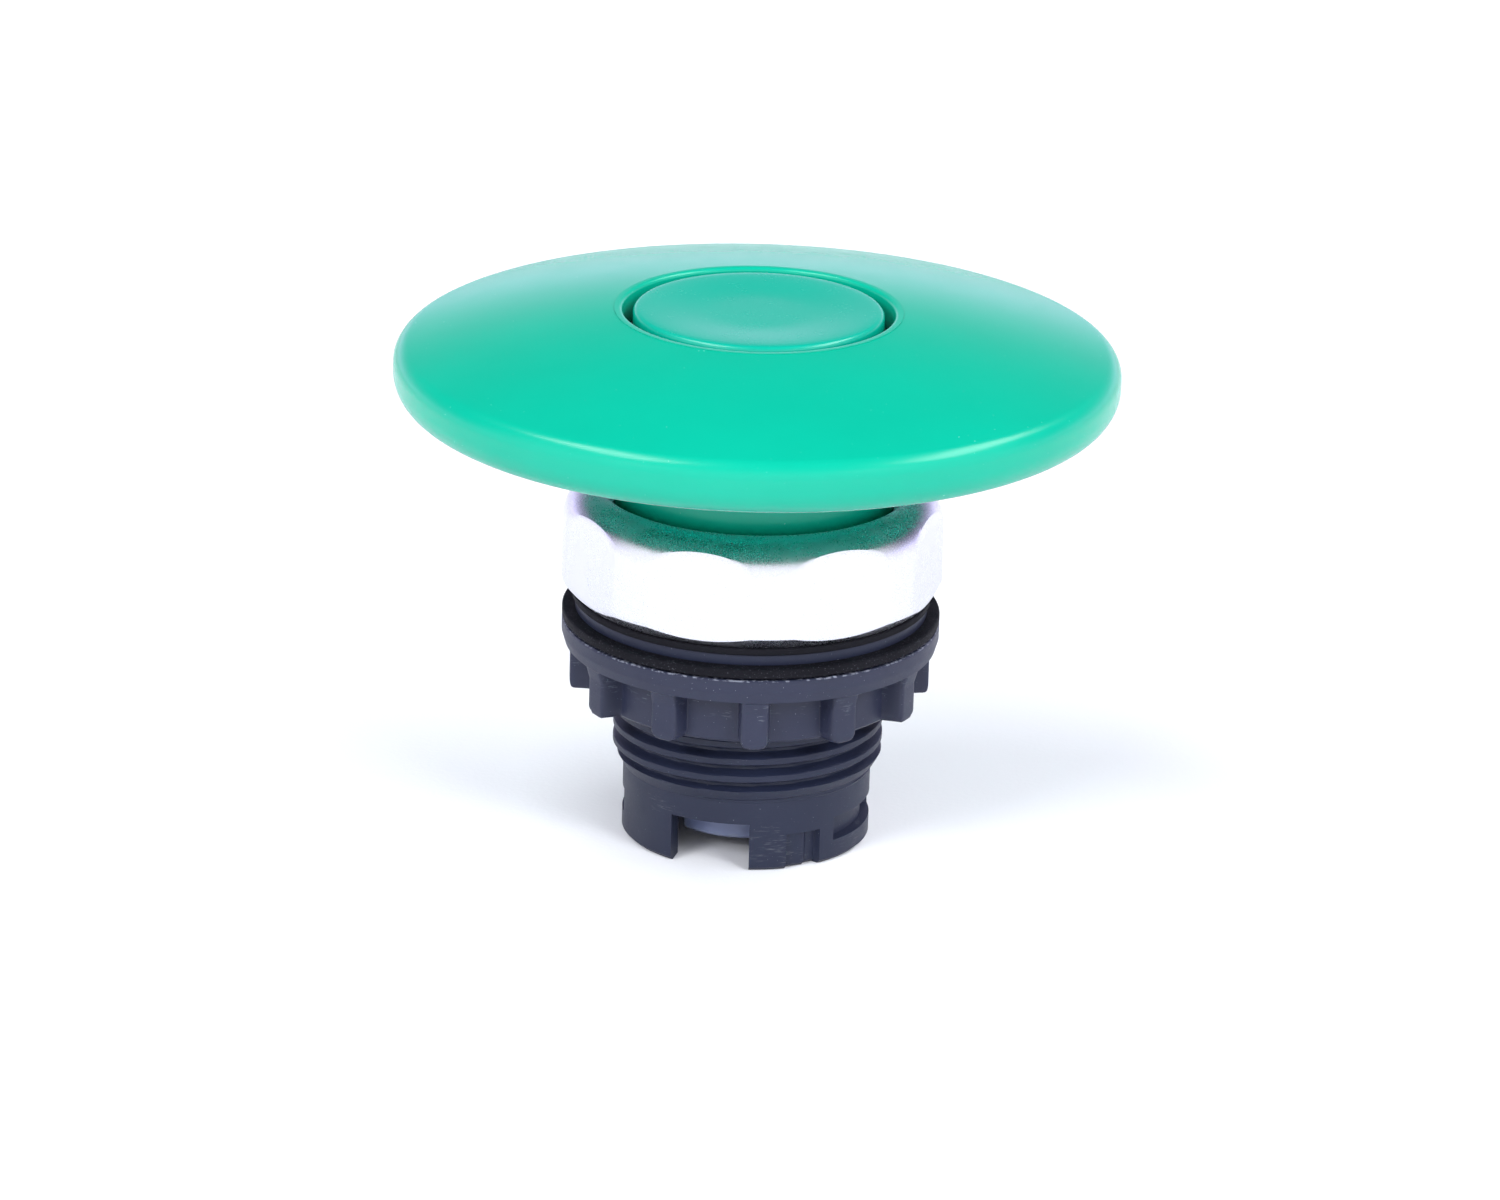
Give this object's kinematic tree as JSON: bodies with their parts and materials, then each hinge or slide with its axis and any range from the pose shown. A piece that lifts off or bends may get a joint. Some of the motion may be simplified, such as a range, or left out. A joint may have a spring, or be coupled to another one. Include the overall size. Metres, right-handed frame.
{
  "type": "mushroom-head industrial push button",
  "caption": "Panel push button with a wide mushroom head, an octagonal metal bezel, a threaded barrel, a ribbed lock nut and a sprung plunger.",
  "frame": {"origin": "on the push axis at the rear face of the threaded barrel, where the button stands", "axes": "+Z along the push axis, from the rear face to the mushroom head; -Y is the side that the picture looks at; +X is right in the picture"},
  "size_m": [0.0592, 0.0592, 0.0449],
  "materials": {
    "housing_plastic": "moulded, satin",
    "seal_rubber": "matt",
    "bezel_metal": "satin chromed die-casting",
    "spring_steel": "bright drawn wire",
    "gasket_rubber": "matt, dusty",
    "nut_plastic": "moulded, matt",
    "cap_plastic": "moulded, satin gloss",
    "disc_plastic": "moulded, satin",
    "disc_seal_foam": "matt foam",
    "screw_steel": "zinc plated",
    "plunger_plastic": "moulded, satin",
    "insert_brass": "turned",
    "foot_plastic": "moulded, satin"
  },
  "bodies": {
    "housing": {"operator_housing": "housing_plastic", "bezel_seal": "seal_rubber", "bezel": "bezel_metal", "seal_clamp_ring": "housing_plastic", "wiper_seal": "seal_rubber", "return_spring": "spring_steel"},
    "actuator": {"mushroom_cap": "cap_plastic", "centre_disc": "disc_plastic", "disc_seal": "disc_seal_foam", "cap_screw": "screw_steel", "cap_washer": "screw_steel", "plunger": "plunger_plastic", "threaded_insert": "insert_brass", "pusher_foot": "foot_plastic", "foot_screw": "screw_steel"},
    "gasket": {"panel_gasket": "gasket_rubber"},
    "nut": {"lock_nut": "nut_plastic"}
  },
  "joints": [
    {"name": "push", "type": "slide", "parent": "housing", "child": "actuator", "axis": [0, 0, 1], "range_m": [-0.0045, 0], "stiffness_N_per_m": 1000, "springref_m": 0.004, "deforming": ["return_spring"]},
    {"name": "gasket_slide", "type": "slide", "parent": "housing", "child": "gasket", "axis": [0, 0, 1], "range_m": [-0.006, 0]},
    {"name": "nut_turn", "type": "hinge", "parent": "gasket", "child": "nut", "pos_m": [0, 0, 0.0153], "axis": [0, 0, 1], "range_deg": [-1440, 0]}
  ],
  "couplings": [
    {"joint": "gasket_slide", "follows": "nut_turn", "m_per_rad": 0.00023873}
  ]
}
